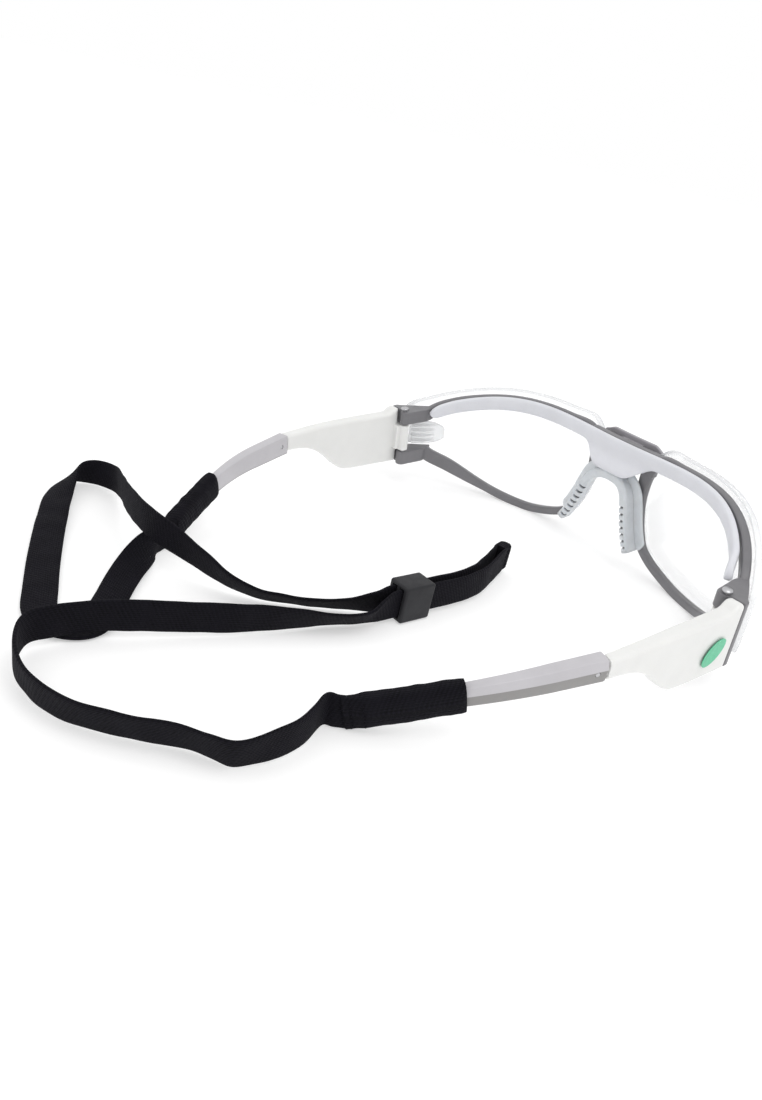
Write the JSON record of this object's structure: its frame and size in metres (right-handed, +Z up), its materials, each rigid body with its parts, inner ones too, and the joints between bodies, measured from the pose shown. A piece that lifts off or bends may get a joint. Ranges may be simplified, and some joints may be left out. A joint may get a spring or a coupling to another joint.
{
  "type": "sports protective goggles",
  "caption": "Wrap-around clear-lens protective goggles with a brow pad, ribbed nose piece, folding telescopic temples and an adjustable retaining strap.",
  "frame": {"origin": "on the surface the goggles stand on, under the middle of the goggles without their strap", "axes": "+Z up; the wearer looks along -Y; +X is the wearer's left; +Y runs back along the temples"},
  "size_m": [0.1638, 0.2062, 0.0447],
  "materials": {
    "frame_grey": "satin moulded grey",
    "cover_grey": "satin moulded grey",
    "clear_lens": "clear polished polycarbonate",
    "clip_clear": "clear moulded plastic",
    "brow_soft": "soft matte pad",
    "nose_soft": "soft translucent pad",
    "housing_white": "translucent white, lightly frosted",
    "arm_grey": "satin grey",
    "pin_steel": "plain",
    "strap_black": "matte woven webbing",
    "slider_black": "moulded charcoal",
    "mark_green": "printed, plain"
  },
  "bodies": {
    "front": {"frame_front": "frame_grey", "bridge_cover": "cover_grey", "lens_left": "clear_lens", "lens_right": "clear_lens", "brow_pad": "brow_soft", "nose_piece": "nose_soft", "lens_clip_left": "clip_clear", "lens_clip_right": "clip_clear", "hinge_pin_left": "pin_steel", "hinge_pin_right": "pin_steel", "strap_left": "strap_black", "strap_right": "strap_black", "strap_end_fold": "strap_black"},
    "left_temple": {"temple_housing_left": "housing_white"},
    "right_temple": {"temple_housing_right": "housing_white", "side_mark_right": "mark_green"},
    "left_arm": {"temple_arm_left": "arm_grey", "stop_pin_left": "pin_steel", "strap_sleeve_left": "strap_black"},
    "right_arm": {"temple_arm_right": "arm_grey", "stop_pin_right": "pin_steel", "strap_sleeve_right": "strap_black"},
    "slider": {"strap_slider": "slider_black"}
  },
  "joints": [
    {"name": "left_temple_fold", "type": "hinge", "parent": "front", "child": "left_temple", "pos_m": [0.066, -0.03089, 0.01832], "axis": [0.0698, 0.1343, 0.9885], "range_deg": [0, 88], "deforming": ["strap_left"]},
    {"name": "right_temple_fold", "type": "hinge", "parent": "front", "child": "right_temple", "pos_m": [-0.066, -0.03089, 0.01832], "axis": [0.0698, -0.1343, -0.9885], "range_deg": [0, 71], "deforming": ["strap_right"]},
    {"name": "left_arm_slide", "type": "slide", "parent": "left_temple", "child": "left_arm", "axis": [-0.2755, 0.9472, -0.164], "range_m": [0, 0.008], "deforming": ["strap_left"]},
    {"name": "right_arm_slide", "type": "slide", "parent": "right_temple", "child": "right_arm", "axis": [0.2755, 0.9472, -0.164], "range_m": [0, 0.008], "deforming": ["strap_right"]},
    {"name": "strap_slider_slide", "type": "slide", "parent": "front", "child": "slider", "axis": [0, -1, 0], "range_m": [0, 0.01], "deforming": ["strap_left", "strap_right"]}
  ]
}
